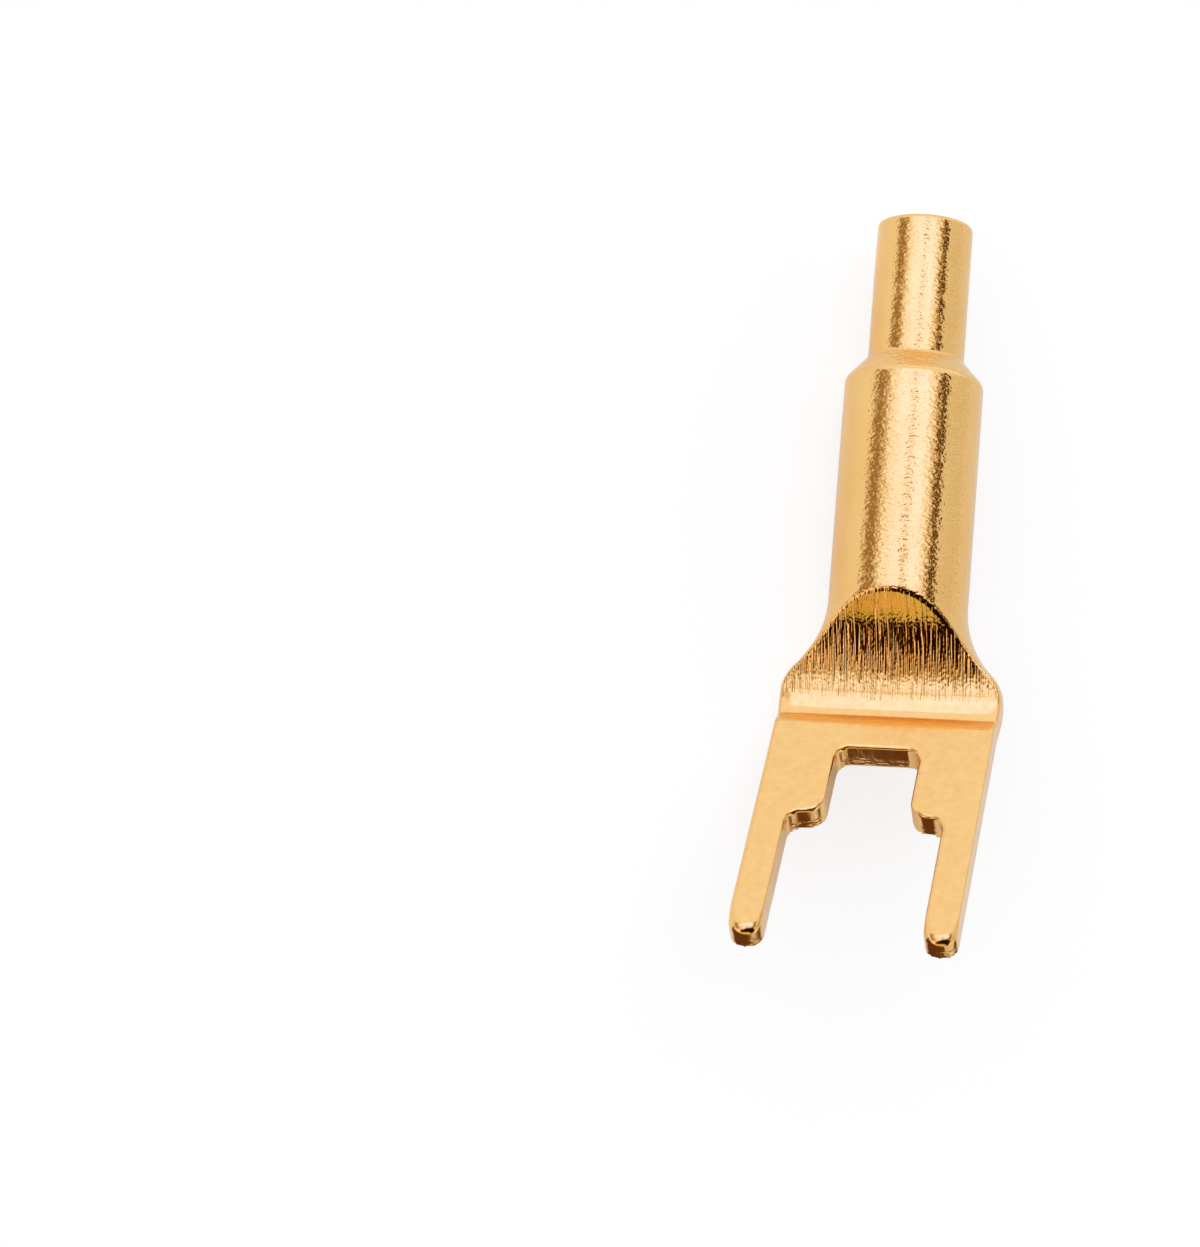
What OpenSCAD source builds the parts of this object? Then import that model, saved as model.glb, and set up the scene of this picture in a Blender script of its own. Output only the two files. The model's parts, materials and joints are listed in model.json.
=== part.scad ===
// Spade terminal, one piece: bored wire neck, barrel, pressed web, scored bend and stepped fork.
// It is drawn along its barrel (+Y to the neck, +Z on the open side of the bend) and then laid on its side.

/* [Barrel and neck] */
// Diameter of the barrel
barrel_d = 6; // [5.6:0.1:6.4]
// Distance from the deepest line of the pressed web to the end of the barrel
barrel_end = 14.95; // [13:0.05:18]
// Length of the chamfered shoulder between barrel and neck
shoulder_len = 1; // [0.6:0.1:1.5]
// Diameter of the wire neck
neck_d = 4.15; // [3.8:0.05:4.6]
// Length of the wire neck
neck_len = 6.1; // [4:0.1:9]
// Rounding of the neck's end
neck_edge_r = 0.2; // [0.1:0.05:0.25]

/* [Wire bore] */
// Diameter of the bore that takes the stripped wire
bore_d = 3.1; // [2.4:0.1:3.2]
// Depth of the full bore from the neck's end
bore_depth = 9; // [6:0.5:12]
// Lead-in chamfer at the mouth of the bore
bore_lead = 0.15; // [0.05:0.05:0.15]

/* [Pressed web] */
// Radius of the round die that presses the rod from both sides
press_r = 6.9; // [6.6:0.1:7.4]
// Greatest width of the web, where the pressed metal has spread
web_w = 9.52; // [9.5:0.02:9.8]
// Radius of the flare between the barrel and the greatest width
flare_r = 4.1; // [3.8:0.1:4.6]
// Rounding of the corner where the flare reaches the greatest width
corner_r = 0.5; // [0.3:0.05:0.7]

/* [Fork] */
// Width over the two tines
fork_w = 9.4; // [9:0.1:9.4]
// Thickness of the plate
fork_t = 1.2; // [1:0.05:1.4]
// Length from the bend to the tips
fork_len = 13.6; // [12:0.1:16]
// Angle between the fork and the barrel's line
bend_deg = 35; // [25:1:45]
// Distance from the deepest line of the web to the bend
bend_y = 0.8; // [0.6:0.05:1]
// Rounding of the tine corners in plan
tip_corner_r = 0.6; // [0.3:0.05:0.65]
// Rounding of the tine tips on the upper edge
tip_top_r = 0.45; // [0.2:0.05:0.6]

/* [Slot] */
// Width of the outer slot, for a quarter-inch binding post
outer_slot_w = 6.6; // [6.4:0.1:6.6]
// Width of the inner slot, for a 3.5 mm screw
inner_slot_w = 3.6; // [3.5:0.05:3.8]
// Length of the whole slot from the tips
slot_len = 10.5; // [9.5:0.1:11]
// Length of the outer slot from the tips
step_len = 6.7; // [5:0.1:7.5]
// Rounding of the slot's corners
slot_r = 0.65; // [0.3:0.05:0.65]

/* [Score] */
// Depth of the score below the fork's face
score_depth = 0.32; // [0.1:0.02:0.4]
// Distance along the fork from the bend to the bottom of the score
score_v = 1; // [0.9:0.05:1.1]
// Distance along the fork from the bend to where the face begins
score_end_v = 1.65; // [1.4:0.05:1.9]

/* [Hidden] */
$fn = 96;
barrel_r = barrel_d / 2;
neck_r = neck_d / 2;
bore_r = bore_d / 2;
web_r = web_w / 2;
neck_start = barrel_end + shoulder_len;
neck_end = neck_start + neck_len;
bore_floor = neck_end - bore_depth;
// The drill leaves a cone of 118 degrees at the bottom of the bore.
bore_tip = bore_floor - bore_r / tan(59);
// The web is as thick as the plate where it meets the bend.
press_z = fork_t / 2 + sqrt(press_r * press_r - bend_y * bend_y);
// Half thickness of the web at a place along the barrel's line
function web_z(y) = press_z - sqrt(press_r * press_r - y * y);
// The web runs this far into the bend, where it lies inside the plate, so that the two join in one solid.
web_root = 0.4 * fork_t * bend_y / press_r;
// The flare starts just short of where the pressed faces run out at the barrel's surface.
press_end = sqrt(press_r * press_r - pow(press_z - barrel_r, 2));
flare_y = press_end - 0.07;
flare_x = barrel_r + flare_r;
// The corner's centre stands a little behind the place where its arc would touch the flare.
corner_x = web_r - corner_r;
corner_y = flare_y - sqrt(pow(flare_r + corner_r, 2) - pow(flare_x - corner_x, 2)) + 0.05;
// A point of the side view, as [y, z], from a place along the fork and its height over the plate's middle
function fork_point(v, w) =
    [bend_y - v * cos(bend_deg) + w * sin(bend_deg), v * sin(bend_deg) + w * cos(bend_deg)];
// Radius of the bell's edge at a place along the barrel's line, from the corner to the start of the barrel
function edge_r(y) = min(
    corner_x + sqrt(max(0, pow(corner_r, 2) - pow(y - corner_y, 2))),
    flare_x - sqrt(pow(flare_r, 2) - pow(flare_y - y, 2)));
// How far the pressed edge reaches below the barrel's line when the part is rolled by an angle
function edge_reach(y, a) = sqrt(pow(edge_r(y), 2) - pow(web_z(y), 2)) * sin(a) + web_z(y) * cos(a);
function reach(first, last, a) = max([for (y = [first:0.02:last]) edge_reach(y, a)]);
// The lying part rolls on its barrel until the corner of the flare touches the ground.
function settle(lo, hi, steps) =
    let (mid = (lo + hi) / 2)
    steps == 0 ? mid
    : reach(corner_y, corner_y + corner_r, mid) > barrel_r ? settle(lo, mid, steps - 1)
    : settle(mid, hi, steps - 1);
lay_deg = settle(15, 60, 24);
// The ridge of the flare stands a few micrometres proud of the barrel and lifts the part by that much.
lay_z = max(barrel_r, reach(corner_y, flare_y, lay_deg));
// The origin stands under the middle of the lying part's box, whose sides are a flare edge and a tine's tip.
far_x = sqrt(pow(web_r, 2) - pow(web_z(corner_y), 2)) * cos(lay_deg) + web_z(corner_y) * sin(lay_deg);
near_x = -fork_w / 2 * cos(lay_deg) - fork_point(fork_len - tip_corner_r, fork_t / 2)[1] * sin(lay_deg);
mid_x = (far_x + near_x) / 2;
mid_y = (fork_point(fork_len, -fork_t / 2)[0] + neck_end) / 2;

// The corner that a rounding leaves over: its arc's centre is the origin, its point lies towards +X and +Y
module round_corner(r) {
    difference() {
        square(2 * r);
        circle(r);
    }
}

// Half section of the bell that the press flattens, from the bend to the start of the barrel
module bell_profile() {
    bell_start = bend_y - web_root;
    difference() {
        union() {
            translate([0, bell_start])
                square([web_r, corner_y - bell_start]);
            translate([0, bell_start])
                square([corner_x, flare_y - bell_start]);
            translate([corner_x, corner_y])
                circle(corner_r);
        }
        translate([flare_x, flare_y])
            circle(flare_r);
    }
}

// Half section of the barrel, the shoulder and the bored neck
module barrel_profile() {
    difference() {
        polygon([
            [0, flare_y], [barrel_r, flare_y], [barrel_r, barrel_end],
            [neck_r, neck_start], [neck_r, neck_end], [0, neck_end]
        ]);
        translate([neck_r - neck_edge_r, neck_end - neck_edge_r])
            round_corner(neck_edge_r);
        polygon([
            [0, bore_tip], [bore_r, bore_floor], [bore_r, neck_end - bore_lead],
            [bore_r + 2 * bore_lead, neck_end + bore_lead], [0, neck_end + bore_lead]
        ]);
    }
}

// Draws a side view, given as [y, z], through the whole width
module through(width) {
    rotate([90, 0, 90])
        linear_extrude(width, center = true)
            children();
}

// The rod, pressed from both sides
module rod() {
    difference() {
        rotate([-90, 0, 0])
            rotate_extrude() {
                bell_profile();
                barrel_profile();
            }
        for (side = [-1, 1])
            through(2 * web_w)
                translate([0, side * press_z])
                    circle(press_r);
    }
}

// Side view of the bend and of the fork's plate, with its rounded tip and its score
module fork_side() {
    lip = [bend_y, fork_t / 2];
    score_low = fork_point(score_v, fork_t / 2 - score_depth);
    difference() {
        translate([bend_y, 0])
            rotate(-bend_deg)
                mirror([1, 0]) {
                    circle(d = fork_t);
                    difference() {
                        translate([0, -fork_t / 2])
                            square([fork_len, fork_t]);
                        translate([fork_len - tip_top_r, fork_t / 2 - tip_top_r])
                            round_corner(tip_top_r);
                    }
                }
        // A flat ramp comes out of the web at the lip and ends at a steep edge up to the fork's face.
        polygon([
            score_low, score_low + 2 * (fork_point(score_end_v, fork_t / 2) - score_low),
            [bend_y + fork_t, barrel_r], [bend_y + fork_t, 0], lip + 0.2 * (lip - score_low)
        ]);
    }
}

// The right half of the stepped slot in plan
module half_slot() {
    inner_v = fork_len - slot_len;
    step_v = fork_len - step_len;
    half_in = inner_slot_w / 2;
    half_out = outer_slot_w / 2;
    translate([-1, inner_v])
        square([half_in - slot_r + 1, slot_len + 1]);
    translate([-1, inner_v + slot_r])
        square([half_in + 1, slot_len]);
    translate([half_in - slot_r, inner_v + slot_r])
        circle(slot_r);
    translate([-1, step_v])
        square([half_out - slot_r + 1, step_len + 1]);
    translate([-1, step_v + slot_r])
        square([half_out + 1, step_len]);
    translate([half_out - slot_r, step_v + slot_r])
        circle(slot_r);
    translate([half_in + slot_r, step_v - slot_r])
        mirror([1, 0])
            round_corner(slot_r);
}

// The fork in plan, as [across, along the fork]
module fork_plan() {
    for (side = [0, 1])
        mirror([side, 0])
            difference() {
                translate([-0.5, -fork_t])
                    square([fork_w / 2 + 0.5, fork_len + fork_t]);
                half_slot();
                translate([fork_w / 2 - tip_corner_r, fork_len - tip_corner_r])
                    round_corner(tip_corner_r);
                translate([outer_slot_w / 2 + tip_corner_r, fork_len - tip_corner_r])
                    mirror([1, 0])
                        round_corner(tip_corner_r);
            }
}

// The bent plate: its side view drawn through its plan
module fork() {
    intersection() {
        through(2 * fork_w)
            fork_side();
        translate([0, bend_y, 0])
            rotate([-bend_deg, 0, 0])
                mirror([0, 1, 0])
                    linear_extrude(4 * fork_t, center = true)
                        fork_plan();
    }
}

// The whole terminal, lying on its barrel and on one corner of the flare
module terminal_body() {
    color("#dfae55")
        translate([-mid_x, -mid_y, lay_z])
            rotate([0, -lay_deg, 0])
                union() {
                    rod();
                    fork();
                }
}

terminal_body();
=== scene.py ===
"""Spade terminal of gold-plated brass, lying as it comes to rest, with the finish of each worked surface."""
import json
import math

import bpy
import numpy as np
from mathutils import Matrix, Vector


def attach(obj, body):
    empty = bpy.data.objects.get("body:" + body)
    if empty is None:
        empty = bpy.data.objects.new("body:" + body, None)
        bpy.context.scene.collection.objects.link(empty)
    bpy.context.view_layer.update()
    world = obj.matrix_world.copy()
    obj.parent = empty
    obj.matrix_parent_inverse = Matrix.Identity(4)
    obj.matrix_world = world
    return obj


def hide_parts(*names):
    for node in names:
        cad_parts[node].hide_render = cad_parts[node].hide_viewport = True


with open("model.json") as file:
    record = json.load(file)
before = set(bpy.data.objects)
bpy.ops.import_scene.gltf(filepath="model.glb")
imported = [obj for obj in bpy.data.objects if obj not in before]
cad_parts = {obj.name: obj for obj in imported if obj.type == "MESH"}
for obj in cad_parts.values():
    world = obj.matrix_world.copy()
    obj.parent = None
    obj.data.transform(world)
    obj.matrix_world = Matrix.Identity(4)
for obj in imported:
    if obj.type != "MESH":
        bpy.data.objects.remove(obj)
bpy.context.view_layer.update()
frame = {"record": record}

MM = 0.001

# Sizes in millimetres. Y runs along the barrel to the neck, Z is the open side of the bend.
# Y is zero at the deepest line of the pressed web, and V is the distance along the fork from the bend.

# Barrel, neck and bore
BARREL_R = 3.0
BARREL_END = 14.95
NECK_R = 2.075
NECK_START = 15.95
NECK_END = 22.05
NECK_EDGE_R = 0.2
SHOULDER_EDGE_R = 0.12
SHOULDER_ROOT_R = 0.05
BORE_R = 1.55
BORE_DEPTH = 9.0
BORE_LEAD = 0.15
DRILL_POINT = math.radians(59)

# Pressed web, with the round dies' radius, the crown that they leave and the flare beside it
PRESS_R = 6.9
PRESS_EDGE_R = 0.17
PRESS_CROWN = 0.1
WEB_R = 4.76
WEB_ROOT = 0.1
FLARE_R = 4.1
FLARE_SHORT = 0.07
CORNER_R = 0.5

# Fork, with edges that are rounder on the punch's side and at the tips
FORK_HALF_W = 4.7
FORK_HALF_T = 0.6
FORK_LEN = 13.6
BEND = math.radians(35)
BEND_Y = 0.8
FORK_EDGE_R = 0.16
FORK_BURR_R = 0.06
TINE_CORNER_R = 0.68
TINE_TOP_R = 0.42
TINE_TOP_START = 1.4
TINE_TOP_FULL = 0.5

# Stepped slot
OUTER_SLOT_HALF_W = 3.3
OUTER_SLOT_V = 6.9
INNER_SLOT_HALF_W = 1.8
INNER_SLOT_V = 3.1
SLOT_R = 0.65
STEP_R = 0.85

# Score across the root of the fork, the metal raised beside it, and the fillet between the lip and the web
SCORE_DEPTH = 0.32
SCORE_V = 1.0
SCORE_END_V = 1.65
SCORE_EDGE_R = 0.08
SCORE_ROOT_R = 0.05
SCORE_RAISE = 0.045
SCORE_RAISE_END = 4.2
LIP_R = 0.25
LIP_FADE = 0.5
LIP_LEAST = 0.03

# What follows from these sizes: the dies' distance from the barrel's line, and the middle of the flare's arc
PRESS_Z = FORK_HALF_T + math.sqrt(PRESS_R ** 2 - BEND_Y ** 2)
FLARE_Y = math.sqrt(PRESS_R ** 2 - (PRESS_Z - BARREL_R) ** 2) - FLARE_SHORT
FLARE_X = BARREL_R + FLARE_R

# The grid that the skin is drawn on, and the least slope of a distance that a point is moved by
GRID = 0.105
GRID_LOW = np.array([-4.95, -10.95, -3.15])
GRID_HIGH = np.array([4.95, 22.25, 3.15])
LEAST_SLOPE = 0.25

# A face belongs to a tool's surface when its middle lies this near to it. The fork's flats face this much
# up or down, and its walls are torn below this height over the plate's middle.
FORK_NEAR = 0.05
PRESS_NEAR = 0.05
BORE_NEAR = 0.03
FLAT_COSINE = 0.6
TORN_BELOW = -0.12

# How the photograph was taken, in the terminal's own axes: millimetres, the film's width on the long side
CAMERA_SPOT = Vector((27.45, -26.31, 159.58))
CAMERA_AIM = Vector((-13.07, 3.83, 0.0))
CAMERA_UP = Vector((-0.040, 0.980, 0.195))
LENS = 110.7
FILM_W = 36
CAMERA_CLIP = 0.005


def both(a, b, r):
    """What two solids share, with their common edge rounded."""
    return np.minimum(-r, np.maximum(a, b)) + np.hypot(np.maximum(r + a, 0), np.maximum(r + b, 0))


def either(a, b, r):
    """Two solids joined, with a fillet between them."""
    return np.maximum(r, np.minimum(a, b)) - np.hypot(np.maximum(r - a, 0), np.maximum(r - b, 0))


def share_of(value, start, end):
    """How far a value has come from start to end, from 0 to 1."""
    return np.clip((value - start) / (end - start), 0, 1)


def eased(share):
    """A share that starts and ends gently."""
    return share ** 2 * (3 - 2 * share)


def fork_place(p):
    """A point's place along the fork from the bend, and its height over the plate's middle."""
    y = p[:, 1] - BEND_Y
    z = p[:, 2]
    return z * math.sin(BEND) - y * math.cos(BEND), y * math.sin(BEND) + z * math.cos(BEND)


def fork_point(v, w):
    """The [y, z] of a place along the fork and its height over the plate's middle."""
    y = BEND_Y - v * math.cos(BEND) + w * math.sin(BEND)
    z = v * math.sin(BEND) + w * math.cos(BEND)
    return np.array([y, z])


def bore_depth(p):
    """Distance from the drilled bore, below zero inside it."""
    r = np.hypot(p[:, 0], p[:, 2])
    y = p[:, 1]
    floor = NECK_END - BORE_DEPTH - BORE_R / math.tan(DRILL_POINT)
    drill = np.maximum(r - BORE_R, (floor - y) * math.sin(DRILL_POINT) + r * math.cos(DRILL_POINT))
    lead = (r - BORE_R - (y - NECK_END + BORE_LEAD)) / math.sqrt(2)
    return np.minimum(drill, np.maximum(lead, NECK_END - BORE_R - y))


def press_depth(p):
    """Distance into the round dies that press the rod from both sides and leave its faces crowned."""
    crown = PRESS_CROWN * (p[:, 0] / WEB_R) ** 2
    return PRESS_R - np.hypot(p[:, 1], np.abs(p[:, 2]) + crown - PRESS_Z)


def rod_depth(p):
    """The turned rod with its bell, shoulder, neck and bore, pressed from both sides."""
    r = np.hypot(p[:, 0], p[:, 2])
    y = p[:, 1]
    bell = both(FLARE_R - np.hypot(r - FLARE_X, y - FLARE_Y), r - WEB_R, CORNER_R)
    slope = math.atan2(NECK_START - BARREL_END, BARREL_R - NECK_R)
    shoulder = (r - BARREL_R) * math.sin(slope) + (y - BARREL_END) * math.cos(slope)
    barrel = both(r - BARREL_R, shoulder, SHOULDER_EDGE_R)
    neck = both(r - NECK_R, y - NECK_END, NECK_EDGE_R)
    turned = np.where(y < FLARE_Y, bell, either(barrel, neck, SHOULDER_ROOT_R))
    pressed = both(turned, press_depth(p), PRESS_EDGE_R)
    return np.maximum(np.maximum(pressed, BEND_Y - WEB_ROOT - y), -bore_depth(p))


def slot_depth(p):
    """The stepped slot between the tines, below zero in the open."""
    v, _ = fork_place(p)
    u = np.abs(p[:, 0])
    inner = both(u - INNER_SLOT_HALF_W, INNER_SLOT_V - v, SLOT_R)
    outer = both(u - OUTER_SLOT_HALF_W, OUTER_SLOT_V - v, SLOT_R)
    return either(inner, outer, STEP_R)


def score_depth(p):
    """The score across the fork, below zero in the groove: a flat ramp from the lip and a steep edge."""
    lip = np.array([BEND_Y, FORK_HALF_T])
    low = fork_point(SCORE_V, FORK_HALF_T - SCORE_DEPTH)
    top = fork_point(SCORE_END_V, FORK_HALF_T)
    yz = p[:, 1:]
    sides = []
    for start, end in ((lip, low), (low, top)):
        way_down = (end - start) / np.linalg.norm(end - start)
        sides.append((yz - start) @ np.array([-way_down[1], way_down[0]]))
    return both(sides[0], sides[1], SCORE_ROOT_R)


def fork_depth(p):
    """The bent plate with its tines, slot and score. Its sides run flush into the web at the bend."""
    v, w = fork_place(p)
    u = np.abs(p[:, 0])
    half_w = FORK_HALF_W + (WEB_R - FORK_HALF_W) * eased(share_of(v, SCORE_END_V, 0))
    plan = both(both(u - half_w, v - FORK_LEN, TINE_CORNER_R), -slot_depth(p), TINE_CORNER_R)
    near_tip = share_of(v, FORK_LEN - TINE_TOP_START, FORK_LEN - TINE_TOP_FULL)
    top_r = FORK_EDGE_R + (TINE_TOP_R - FORK_EDGE_R) * eased(near_tip)
    near_score = share_of(v, SCORE_RAISE_END, SCORE_END_V)
    height = np.where(w > 0, w - SCORE_RAISE * near_score ** 2, -w)
    section = np.where(v < 0, np.hypot(v, w), height) - FORK_HALF_T
    scored = both(section, -score_depth(p), SCORE_EDGE_R)
    return both(plan, scored, np.where(w > 0, top_r, FORK_BURR_R))


def terminal_depth(p):
    """Distance from the terminal's surface, below zero in the metal. The lip's fillet fades at its ends."""
    inside = np.clip((WEB_R - np.abs(p[:, 0])) / LIP_FADE, LIP_LEAST, 1)
    return either(rod_depth(p), fork_depth(p), LIP_R * inside)


def uphill(depth, p, step=0.01):
    """The direction in which a distance grows fastest."""
    steps = np.eye(3) * step
    return np.stack([depth(p + s) - depth(p - s) for s in steps], axis=1) / (2 * step)


def onto(depth, p, passes=4):
    """Points moved onto the surface."""
    for _ in range(passes):
        slope = uphill(depth, p)
        move = depth(p) / np.maximum((slope * slope).sum(axis=1), LEAST_SLOPE)
        p = p - np.clip(move, -GRID, GRID)[:, None] * slope
    return p


def bent(p):
    """Points of the straight grid, raised in front of the bend so that the grid follows the fork's faces."""
    raised = np.maximum(BEND_Y - p[:, 1], 0) * math.tan(BEND)
    return p + raised[:, None] * np.array([0, 0, 1])


def skin(depth):
    """Points and quads of a solid's surface: one point in each grid cell that the surface passes through."""
    count = np.ceil((GRID_HIGH - GRID_LOW) / GRID).astype(int) + 1
    axes = [GRID_LOW[a] + GRID * np.arange(count[a]) for a in range(3)]
    field = np.empty(count)
    for i, x in enumerate(axes[0]):
        y, z = np.meshgrid(axes[1], axes[2], indexing="ij")
        p = np.stack([np.full(y.size, x), y.ravel(), z.ravel()], axis=1)
        field[i] = depth(bent(p)).reshape(y.shape)
    solid = field < 0
    corners = [(i, j, k) for i in (0, 1) for j in (0, 1) for k in (0, 1)]
    cells = [tuple(slice(c, n - 1 + c) for c, n in zip(corner, count)) for corner in corners]
    filled = sum(solid[cell].astype(int) for cell in cells)
    crossed = (filled > 0) & (filled < len(corners))
    place = np.argwhere(crossed)
    number = np.full(crossed.shape, -1)
    number[crossed] = np.arange(len(place))
    # Each cell's point is the middle of where the surface cuts the cell's edges.
    total = np.zeros((len(place), 3))
    hits = np.zeros(len(place))
    for a in corners:
        for b in corners:
            if sum(b) - sum(a) != 1 or any(m < n for m, n in zip(b, a)):
                continue
            at_a = field[tuple((place + a).T)]
            at_b = field[tuple((place + b).T)]
            cut = (at_a < 0) != (at_b < 0)
            part = np.where(cut, at_a / np.where(cut, at_a - at_b, 1), 0)
            total += cut[:, None] * (np.array(a) + part[:, None] * (np.array(b) - np.array(a)))
            hits += cut
    points = bent(GRID_LOW + GRID * (place + total / hits[:, None]))
    # Each edge of the grid that the surface cuts gives a quad between the four cells round it.
    quads = []
    for axis in range(3):
        low = [slice(None)] * 3
        high = [slice(None)] * 3
        low[axis] = slice(0, -1)
        high[axis] = slice(1, None)
        starts = solid[tuple(low)]
        ends = solid[tuple(high)]
        edge = np.argwhere(starts != ends)
        leaving = starts[tuple(edge.T)]
        one, two = [np.eye(3, dtype=int)[(axis + k) % 3] for k in (1, 2)]
        ring = [edge - one - two, edge - two, edge, edge - one]
        quad = np.stack([number[tuple(cell.T)] for cell in ring], axis=1)
        quads.append(np.where(leaving[:, None], quad, quad[:, ::-1]))
    return points, np.concatenate(quads)


def relaxed(depth, points, quads, passes=3):
    """The same surface with its points spread more evenly."""
    ends = np.concatenate([quads[:, [k, (k + 1) % 4]] for k in range(4)])
    for _ in range(passes):
        total = np.zeros_like(points)
        count = np.zeros(len(points))
        for a, b in ((0, 1), (1, 0)):
            np.add.at(total, ends[:, a], points[ends[:, b]])
            np.add.at(count, ends[:, a], 1)
        points = onto(depth, 0.5 * (points + total / count[:, None]), passes=2)
    return points


def linear(hex_colour):
    """The linear colour of an sRGB hex value."""
    parts = [int(hex_colour[i:i + 2], 16) / 255 for i in (1, 3, 5)]
    return [c / 12.92 if c <= 0.04045 else ((c + 0.055) / 1.055) ** 2.4 for c in parts] + [1.0]


# The inputs and the output of a mix, by number, because its numbers and its colours share their names
NUMBER_A = 2
NUMBER_B = 3
COLOUR_A = 6
COLOUR_B = 7
MIXED_COLOUR = 2


def add(tree, kind, inputs=(), **settings):
    """Adds a node with its settings, and fills or links its inputs by name or number."""
    node = tree.nodes.new(kind)
    for name, value in settings.items():
        setattr(node, name, value)
    for name, value in dict(inputs).items():
        if isinstance(value, bpy.types.NodeSocket):
            tree.links.new(value, node.inputs[name])
        else:
            node.inputs[name].default_value = value
    return node


def new_material(name):
    """An empty material, its tree and its output node."""
    material = bpy.data.materials.new(name)
    material.use_nodes = True
    tree = material.node_tree
    tree.nodes.clear()
    return material, tree, tree.nodes.new("ShaderNodeOutputMaterial")


# Where the terminal lies: the bore gives the barrel's line, and the clamping face gives the roll about it.
mounts = {mount["name"]: mount for mount in frame["record"]["mounts"]}
along = Vector(mounts["wire_bore"]["axis"])
face = Vector(mounts["clamp_face_upper"]["axis"])
up = (face - along * face.dot(along)).normalized()
across = along.cross(up)
lying = Matrix((across, along, up)).transposed().to_4x4()
lying.translation = Vector(mounts["wire_bore"]["pos_m"]) - along * (NECK_END - BORE_LEAD) * MM
fork_axes = lying @ Matrix.Rotation(-BEND, 4, "X")

# Gold plating is a clear, warm mirror. Its layer is uneven, so it is a little paler or redder in clouds, and
# a little glossier or duller in patches. Sizes are in millimetres.
PLATING = ("#F8CE8A", "#EEBB6B")
CLOUD_DETAIL = 4.0
PATCH = 0.3
PATCH_DETAIL = 2.0
PATCH_SPREAD = (0.3, 0.7)
ALL = (0.0, 1.0)


def gold_plate(name, axes, grains, roughness, detail=1.0, cloud=2.5):
    """Gold plating over brass, with the grain that one way of working leaves in it as relief.

    Each grain is its size along the three axes, its height, and the part of its noise that rises.
    """
    material, tree, out = new_material(name)
    place = add(tree, "ShaderNodeTexCoord").outputs["Object"]

    def grain(size, fineness):
        """A noise of that size, laid along the axes of the worked surface."""
        own_axes = add(tree, "ShaderNodeMapping", {
            "Vector": place, "Location": axes.translation, "Rotation": axes.to_euler(),
            "Scale": Vector(size) * MM}, vector_type="TEXTURE")
        return add(tree, "ShaderNodeTexNoise", {
            "Vector": own_axes.outputs[0], "Scale": 1.0, "Detail": fineness, "Roughness": 0.5}).outputs[0]

    tint = add(tree, "ShaderNodeMix", {
        "Factor": grain([cloud] * 3, CLOUD_DETAIL),
        COLOUR_A: linear(PLATING[0]), COLOUR_B: linear(PLATING[1])}, data_type="RGBA")
    gloss = add(tree, "ShaderNodeMapRange", {
        "Value": grain([PATCH] * 3, PATCH_DETAIL), "From Min": PATCH_SPREAD[0], "From Max": PATCH_SPREAD[1],
        "To Min": roughness[0], "To Max": roughness[1]})
    metal = add(tree, "ShaderNodeBsdfPrincipled", {
        "Base Color": tint.outputs[MIXED_COLOUR], "Metallic": 1.0, "Roughness": gloss.outputs[0]})
    under = {}
    for size, height, (low, high) in grains:
        relief = add(tree, "ShaderNodeMapRange", {
            "Value": grain(size, detail), "From Min": low, "From Max": high}, interpolation_type="SMOOTHSTEP")
        bump = add(tree, "ShaderNodeBump", {
            "Height": relief.outputs[0], "Strength": 1.0, "Distance": height * MM, **under})
        under = {"Normal": bump.outputs[0]}
    tree.links.new(under["Normal"], metal.inputs["Normal"])
    tree.links.new(metal.outputs[0], out.inputs["Surface"])
    return material


# Turned brass: the tool's fine marks run round the barrel, and a highlight on the plating breaks up on them
# like the peel of an orange. They are drawn at the size that the photograph shows.
turned_brass = gold_plate(
    "gold_plate_over_turned_brass", lying, roughness=(0.04, 0.08),
    grains=(((0.28, 0.15, 0.28), 0.017, ALL), ((0.14, 0.1, 0.14), 0.007, ALL)))

# Pressed brass: the dies drew the metal out along the barrel's line, so bright and dark streaks run down the
# pressed faces, a few of them deep. They are drawn at the width that the photograph shows.
pressed_brass = gold_plate(
    "gold_plate_over_pressed_brass", lying, roughness=(0.03, 0.07), detail=0.0,
    grains=(((0.12, 3.0, 3.0), 0.012, (0.53, 0.66)), ((0.05, 1.2, 1.2), 0.009, ALL),
            ((0.12, 0.15, 0.15), 0.007, ALL)))

# Rolled brass: the fork's faces are even and softly glossy, with a faint unrest. The mill's own grain is too
# fine to show, so it is drawn several times as coarse.
rolled_brass = gold_plate(
    "gold_plate_over_rolled_brass", fork_axes, roughness=(0.14, 0.22), cloud=0.3,
    grains=(((0.4, 0.4, 0.4), 0.008, ALL), ((0.1, 0.1, 0.1), 0.001, ALL)))

# Sheared brass: the punch leaves a bright band with faint lines in the direction of its stroke. The real
# lines are too fine to show, so they are drawn wider.
sheared_brass = gold_plate(
    "gold_plate_over_sheared_brass", fork_axes, roughness=(0.1, 0.16),
    grains=(((0.12, 0.12, 0.9), 0.007, ALL),))

# Torn brass: below the sheared band the metal broke, and the wall there is duller and uneven. The real grain
# is too fine to show, so it is drawn coarser.
torn_brass = gold_plate(
    "gold_plate_over_torn_brass", fork_axes, roughness=(0.12, 0.2),
    grains=(((0.5, 0.5, 0.15), 0.012, ALL), ((0.12, 0.12, 0.12), 0.004, ALL)))

# Drilled brass: the drill leaves rings in the bore, as far apart as its feed, and the plating there is dull.
drilled_brass = gold_plate(
    "gold_plate_over_drilled_brass", lying, roughness=(0.25, 0.4),
    grains=(((0.6, 0.12, 0.6), 0.004, ALL),))

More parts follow.
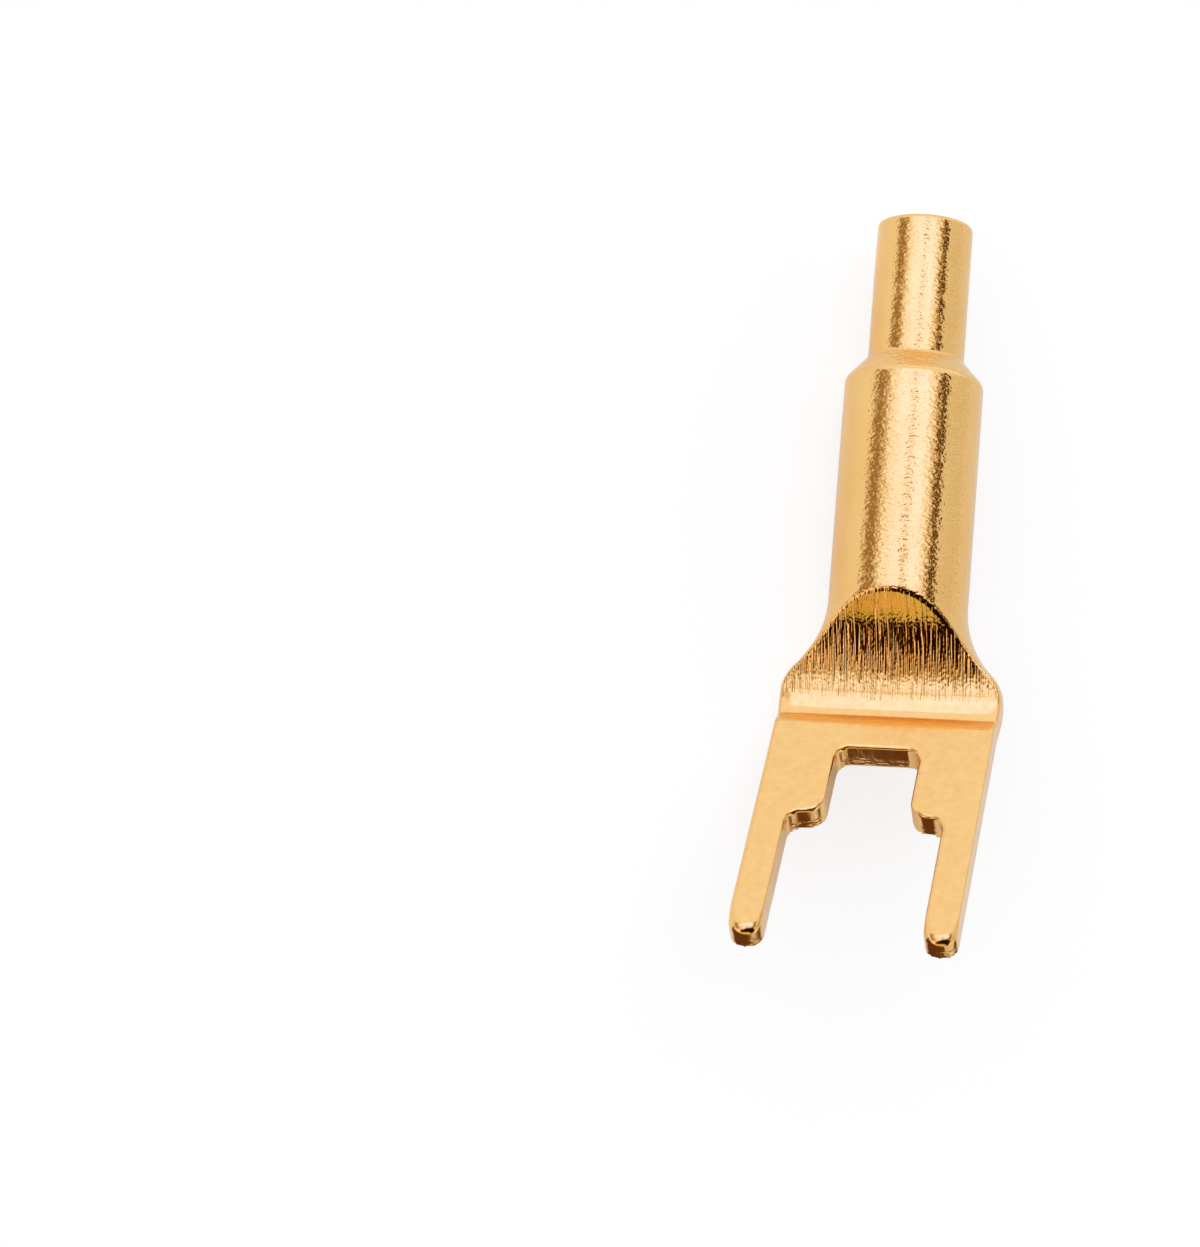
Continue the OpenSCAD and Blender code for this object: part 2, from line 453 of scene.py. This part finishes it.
# The terminal's skin
points, quads = skin(terminal_depth)
points = relaxed(terminal_depth, onto(terminal_depth, points), quads)
normals = uphill(terminal_depth, points, step=0.02)
normals /= np.linalg.norm(normals, axis=1)[:, None]
turn = np.array(lying.to_3x3())
mesh = bpy.data.meshes.new("terminal")
mesh.from_pydata((points * MM @ turn.T + np.array(lying.translation)).tolist(), [], quads.tolist())
mesh.polygons.foreach_set("use_smooth", np.ones(len(quads), bool))
mesh.normals_split_custom_set_from_vertices((normals @ turn.T).tolist())
terminal = bpy.data.objects.new("terminal", mesh)
bpy.context.scene.collection.objects.link(terminal)

# Which tool worked each face
TURNED, PRESSED, ROLLED, SHEARED, TORN, DRILLED = range(6)
middle = points[quads].mean(axis=1)
facing = normals[quads].mean(axis=1)
plate_up = np.array([0, math.sin(BEND), math.cos(BEND)])
on_rod = fork_depth(middle) >= rod_depth(middle) + FORK_NEAR
drilled = bore_depth(middle) < BORE_NEAR
pressed = press_depth(middle) > -PRESS_NEAR
flat = np.abs(facing @ plate_up) > FLAT_COSINE
torn = fork_place(middle)[1] < TORN_BELOW
finish = np.select(
    [on_rod & drilled, on_rod & pressed, on_rod, flat, torn],
    [DRILLED, PRESSED, TURNED, ROLLED, TORN], SHEARED)
for material in (turned_brass, pressed_brass, rolled_brass, sheared_brass, torn_brass, drilled_brass):
    mesh.materials.append(material)
mesh.polygons.foreach_set("material_index", finish.astype(np.int32))
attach(terminal, "root")
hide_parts("terminal_body")


def sheet(name, low, high, height, material):
    """A flat rectangle of the stage, in metres, facing up."""
    corners = [(low[0], low[1]), (high[0], low[1]), (high[0], high[1]), (low[0], high[1])]
    sheet_mesh = bpy.data.meshes.new(name)
    sheet_mesh.from_pydata([(x, y, height) for x, y in corners], [], [(0, 1, 2, 3)])
    sheet_mesh.materials.append(material)
    made = bpy.data.objects.new(name, sheet_mesh)
    bpy.context.scene.collection.objects.link(made)
    return made


# The floor: half its width in metres, how much light the card is given for the camera, and how much in the
# metal from the left of the terminal to its right
FLOOR_HALF = 2.0
CARD = "#F7F7F5"
CARD_UNDER_LIFT = "#898988"
CAMERA_LIFT = 0.78
MIRROR_LIFT = (0.12, 0.0)
MIRROR_SPAN = (-0.012, 0.012)


def matt_white_card():
    """Matt white card has no gloss: white with a soft shadow to the eye, a little darker in the metal."""
    material, tree, out = new_material("matt_white_card")
    seen = add(tree, "ShaderNodeLightPath").outputs["Is Camera Ray"]
    spot = add(tree, "ShaderNodeNewGeometry").outputs["Position"]
    to_right = add(tree, "ShaderNodeSeparateXYZ", {0: spot}).outputs["X"]
    mirror_lift = add(tree, "ShaderNodeMapRange", {
        "Value": to_right, "From Min": MIRROR_SPAN[0], "From Max": MIRROR_SPAN[1],
        "To Min": MIRROR_LIFT[0], "To Max": MIRROR_LIFT[1]})
    lift = add(tree, "ShaderNodeMix", {
        "Factor": seen, NUMBER_A: mirror_lift.outputs[0], NUMBER_B: CAMERA_LIFT})
    shade = add(tree, "ShaderNodeMix", {
        "Factor": seen, COLOUR_A: linear(CARD), COLOUR_B: linear(CARD_UNDER_LIFT)}, data_type="RGBA")
    paper = add(tree, "ShaderNodeBsdfDiffuse", {"Color": shade.outputs[MIXED_COLOUR]})
    glow = add(tree, "ShaderNodeEmission", {"Strength": lift.outputs[0]})
    lifted = add(tree, "ShaderNodeAddShader", {0: paper.outputs[0], 1: glow.outputs[0]})
    tree.links.new(lifted.outputs[0], out.inputs["Surface"])
    return material


# The felt in front of the tines, in metres, and the stretch over which its edge fades into the card
FELT = "#6B4226"
FELT_LOW = (-0.05, -0.2)
FELT_HIGH = (0.05, -0.018)
FELT_HEIGHT = 0.0002
FELT_FULL = -0.021


def brown_felt():
    """Brown felt has a dull nap: the metal shows it as a warm dark field with a soft edge."""
    material, tree, out = new_material("brown_felt")
    spot = add(tree, "ShaderNodeNewGeometry").outputs["Position"]
    to_back = add(tree, "ShaderNodeSeparateXYZ", {0: spot}).outputs["Y"]
    edge = add(tree, "ShaderNodeMapRange", {
        "Value": to_back, "From Min": FELT_HIGH[1], "From Max": FELT_FULL}, interpolation_type="SMOOTHSTEP")
    shade = add(tree, "ShaderNodeMix", {
        "Factor": edge.outputs[0], COLOUR_A: linear(CARD), COLOUR_B: linear(FELT)}, data_type="RGBA")
    nap = add(tree, "ShaderNodeBsdfDiffuse", {"Color": shade.outputs[MIXED_COLOUR]})
    tree.links.new(nap.outputs[0], out.inputs["Surface"])
    return material


sheet("floor", (-FLOOR_HALF, -FLOOR_HALF), (FLOOR_HALF, FLOOR_HALF), 0.0, matt_white_card())
# Only the metal sees the felt.
front_felt = sheet("front_felt", FELT_LOW, FELT_HIGH, FELT_HEIGHT, brown_felt())
front_felt.visible_camera = False
front_felt.visible_diffuse = False
front_felt.visible_shadow = False


def towards(right_deg, back_deg):
    """The direction that leans from the zenith by so many degrees to the right and to the back."""
    lean = math.radians(math.hypot(right_deg, back_deg))
    turn_to = math.atan2(back_deg, right_deg)
    return Vector((math.sin(lean) * math.cos(turn_to), math.sin(lean) * math.sin(turn_to), math.cos(lean)))


# Studio light: a broad soft lamp that leans to the left, with a dark gap round it and pale walls beyond the
# gap, and a black flag in front. Each row is an angle from the middle, in degrees, and the brightness there.
LAMP_LEVEL = 1.46
WALL_LEVEL = 0.84
GAP_LEVEL = 0.05
LAMP_MIDDLE = towards(-22, 8)
LAMP_ROWS = (
    (0, LAMP_LEVEL), (31, LAMP_LEVEL), (38, 1.1), (44.5, 0.72), (50, 0.25),
    (54, GAP_LEVEL), (57.5, GAP_LEVEL), (61, WALL_LEVEL))
FLAG_MIDDLE = towards(5, -55)
FLAG_ROWS = ((0, 0.0), (37.5, 0.0), (41, 0.22), (44, 0.62), (46.5, 1.1), (49, LAMP_LEVEL))

# The lamp's cloth is dimmer at its left end and hangs in soft folds. It is sewn along two seams that cross,
# each with a darker core, and the first one opens towards the front. A span is a pair of places, by how far a
# direction points to the right or to the back.
LAMP_END_SPAN = (-0.82, -0.5)
LAMP_END_LEVEL = 0.85
FOLDS_SCALE = 9.0
FOLDS_DETAIL = 2.0
FOLDS_SPREAD = (0.35, 0.65)
FOLDS_LEVEL = (0.8, 1.12)
SEAM = towards(73, 0)
SEAM_HALF_W = 0.07
SEAM_SPAN = (0.165, 0.25)
SEAM_LEVEL = (0.25, 0.97)
CROSS_SEAM = towards(0, 83)
CROSS_SEAM_HALF_W = 0.12
CROSS_SEAM_LEVEL = 0.72
SEAM_CORE = 1 / 3

# Walls behind the terminal, in front of it and to its left: the span over which each comes up, and its
# brightness. The front wall is warm, and low in front stands a golden screen.
BACK_SPAN = (0.36, 0.62)
BACK_LEVEL = 1.05
FRONT_SPAN = (-0.3, -0.55)
FRONT_LEVEL = 1.4
FRONT_TINT = (1.0, 0.7, 0.38, 1.0)
LEFT_SPAN = (-0.5, -0.75)
LEFT_LEVEL = 0.3
SCREEN_SPAN = (-0.862, -0.905)
SCREEN = (0.8, 0.64, 0.2)

# The colour of the light at each brightness: brown in the dark, white on the walls and bluish in the lamp
TONE_TOP = 2.75
TONES = (
    (0.0, (0.016, 0.007, 0.0025)), (0.36, (0.45, 0.3, 0.15)), (WALL_LEVEL, (0.84, 0.84, 0.84)),
    (1.0, (1.0, 1.0, 1.05)), (1.15, (1.13, 1.16, 1.45)), (LAMP_LEVEL, (1.42, 1.52, TONE_TOP)))

# The card takes plain light without these colours, at this strength.
FLOOR_LIGHT = 1.38


def fill_stops(ramp, rows):
    """Gives a ramp its stops, each a position from 0 to 1 and a colour."""
    stops = ramp.color_ramp.elements
    stops.remove(stops[1])
    for row, (position, colour) in enumerate(rows):
        stop = stops[0] if row == 0 else stops.new(position)
        stop.position = position
        stop.color = [*colour, 1]


def falloff(tree, way, middle_way, rows):
    """The brightness of each direction, by its angle from the middle of the lamp or the flag."""
    cosine = add(tree, "ShaderNodeVectorMath", {0: way, 1: middle_way}, operation="DOT_PRODUCT")
    angle = add(tree, "ShaderNodeMath", {0: cosine.outputs["Value"]}, operation="ARCCOSINE")
    share = add(tree, "ShaderNodeMath", {0: angle.outputs[0], 1: math.pi}, operation="DIVIDE")
    ramp = add(tree, "ShaderNodeValToRGB", {0: share.outputs[0]})
    fill_stops(ramp, [(degrees / 180, [level / LAMP_LEVEL] * 3) for degrees, level in rows])
    return ramp.outputs[0]


def lamp_cloth(tree, way, to_right, to_back):
    """The brightness of the lamp, with its dimmer end, its folds and its two seams."""
    ripple = add(tree, "ShaderNodeTexNoise", {"Vector": way, "Scale": FOLDS_SCALE, "Detail": FOLDS_DETAIL})
    seam_open = add(tree, "ShaderNodeMapRange", {
        "Value": to_back, "From Min": SEAM_SPAN[0], "From Max": SEAM_SPAN[1],
        "To Min": SEAM_LEVEL[0], "To Max": SEAM_LEVEL[1]})
    layers = [
        add(tree, "ShaderNodeMapRange", {
            "Value": to_right, "From Min": LAMP_END_SPAN[0], "From Max": LAMP_END_SPAN[1],
            "To Min": LAMP_END_LEVEL, "To Max": 1.0}),
        add(tree, "ShaderNodeMapRange", {
            "Value": ripple.outputs[0], "From Min": FOLDS_SPREAD[0], "From Max": FOLDS_SPREAD[1],
            "To Min": FOLDS_LEVEL[0], "To Max": FOLDS_LEVEL[1]}),
    ]
    for seam_way, half_w, seam_level in (
        (SEAM, SEAM_HALF_W, seam_open.outputs[0]), (CROSS_SEAM, CROSS_SEAM_HALF_W, CROSS_SEAM_LEVEL),
    ):
        off_seam = add(tree, "ShaderNodeVectorMath", {0: way, 1: seam_way}, operation="DOT_PRODUCT")
        beside = add(tree, "ShaderNodeMath", {0: off_seam.outputs["Value"]}, operation="ABSOLUTE")
        layers.append(add(tree, "ShaderNodeMapRange", {
            "Value": beside.outputs[0], "From Min": half_w * SEAM_CORE, "From Max": half_w,
            "To Min": seam_level, "To Max": 1.0}, interpolation_type="SMOOTHSTEP"))
    level = falloff(tree, way, LAMP_MIDDLE, LAMP_ROWS)
    for layer in layers:
        level = add(tree, "ShaderNodeMath", {0: level, 1: layer.outputs[0]}, operation="MULTIPLY").outputs[0]
    return level


def room_level(tree, way, to_right, to_back):
    """The brightness of each direction, as a share of the lamp's: the lamp or a wall, behind the flag."""
    level = lamp_cloth(tree, way, to_right, to_back)
    for side, span, wall_level in (
        (to_back, BACK_SPAN, BACK_LEVEL),
        (to_back, FRONT_SPAN, FRONT_LEVEL),
        (to_right, LEFT_SPAN, LEFT_LEVEL),
    ):
        wall = add(tree, "ShaderNodeMapRange", {
            "Value": side, "From Min": span[0], "From Max": span[1],
            "To Min": 0.0, "To Max": wall_level / LAMP_LEVEL}, interpolation_type="SMOOTHSTEP")
        level = add(tree, "ShaderNodeMath", {0: level, 1: wall.outputs[0]}, operation="MAXIMUM").outputs[0]
    flag = falloff(tree, way, FLAG_MIDDLE, FLAG_ROWS)
    return add(tree, "ShaderNodeMath", {0: level, 1: flag}, operation="MINIMUM").outputs[0]


def room_colour(tree, level, to_back):
    """The colour of the light that the metal mirrors, as a share of the top tone."""
    tone = add(tree, "ShaderNodeValToRGB", {0: level})
    fill_stops(tone, [(shade / LAMP_LEVEL, [part / TONE_TOP for part in colour]) for shade, colour in TONES])
    on_front = add(tree, "ShaderNodeMapRange", {
        "Value": to_back, "From Min": FRONT_SPAN[0], "From Max": FRONT_SPAN[1]})
    warmed = add(tree, "ShaderNodeMix", {
        "Factor": on_front.outputs[0], COLOUR_A: tone.outputs[0], COLOUR_B: FRONT_TINT},
        data_type="RGBA", blend_type="MULTIPLY")
    on_screen = add(tree, "ShaderNodeMapRange", {
        "Value": to_back, "From Min": SCREEN_SPAN[0], "From Max": SCREEN_SPAN[1]})
    screened = add(tree, "ShaderNodeMix", {
        "Factor": on_screen.outputs[0], COLOUR_A: warmed.outputs[MIXED_COLOUR],
        COLOUR_B: [part / TONE_TOP for part in SCREEN] + [1]}, data_type="RGBA")
    return screened.outputs[MIXED_COLOUR]


def studio():
    """The world: coloured light in the metal, plain light on the card, and white behind for the camera."""
    world = bpy.data.worlds.new("studio")
    bpy.context.scene.world = world
    world.use_nodes = True
    tree = world.node_tree
    tree.nodes.clear()
    way = add(tree, "ShaderNodeTexCoord").outputs["Generated"]
    way_parts = add(tree, "ShaderNodeSeparateXYZ", {0: way})
    to_right = way_parts.outputs["X"]
    to_back = way_parts.outputs["Y"]
    level = room_level(tree, way, to_right, to_back)
    colour = room_colour(tree, level, to_back)
    ray = add(tree, "ShaderNodeLightPath")
    mirrored = add(tree, "ShaderNodeBackground", {"Color": colour, "Strength": TONE_TOP})
    plain = add(tree, "ShaderNodeBackground", {"Color": level, "Strength": FLOOR_LIGHT * LAMP_LEVEL})
    white = add(tree, "ShaderNodeBackground", {"Color": linear("#FFFFFF"), "Strength": 1.0})
    room = add(tree, "ShaderNodeMixShader", {
        0: ray.outputs["Is Diffuse Ray"], 1: mirrored.outputs[0], 2: plain.outputs[0]})
    sky = add(tree, "ShaderNodeMixShader", {
        0: ray.outputs["Is Camera Ray"], 1: room.outputs[0], 2: white.outputs[0]})
    add(tree, "ShaderNodeOutputWorld", {"Surface": sky.outputs[0]})


def photo_camera():
    """The camera, where the photograph was taken from."""
    camera_data = bpy.data.cameras.new("camera")
    camera_data.lens = LENS
    camera_data.sensor_width = FILM_W
    camera_data.clip_start = CAMERA_CLIP
    camera = bpy.data.objects.new("camera", camera_data)
    bpy.context.scene.collection.objects.link(camera)
    back = (CAMERA_SPOT - CAMERA_AIM).normalized()
    right = CAMERA_UP.cross(back).normalized()
    camera_turn = Matrix((right, back.cross(right), back)).transposed().to_4x4()
    camera_turn.translation = CAMERA_SPOT * MM
    camera.matrix_world = lying @ camera_turn
    return camera


studio()
bpy.context.scene.camera = photo_camera()
bpy.context.scene.view_settings.view_transform = "Standard"
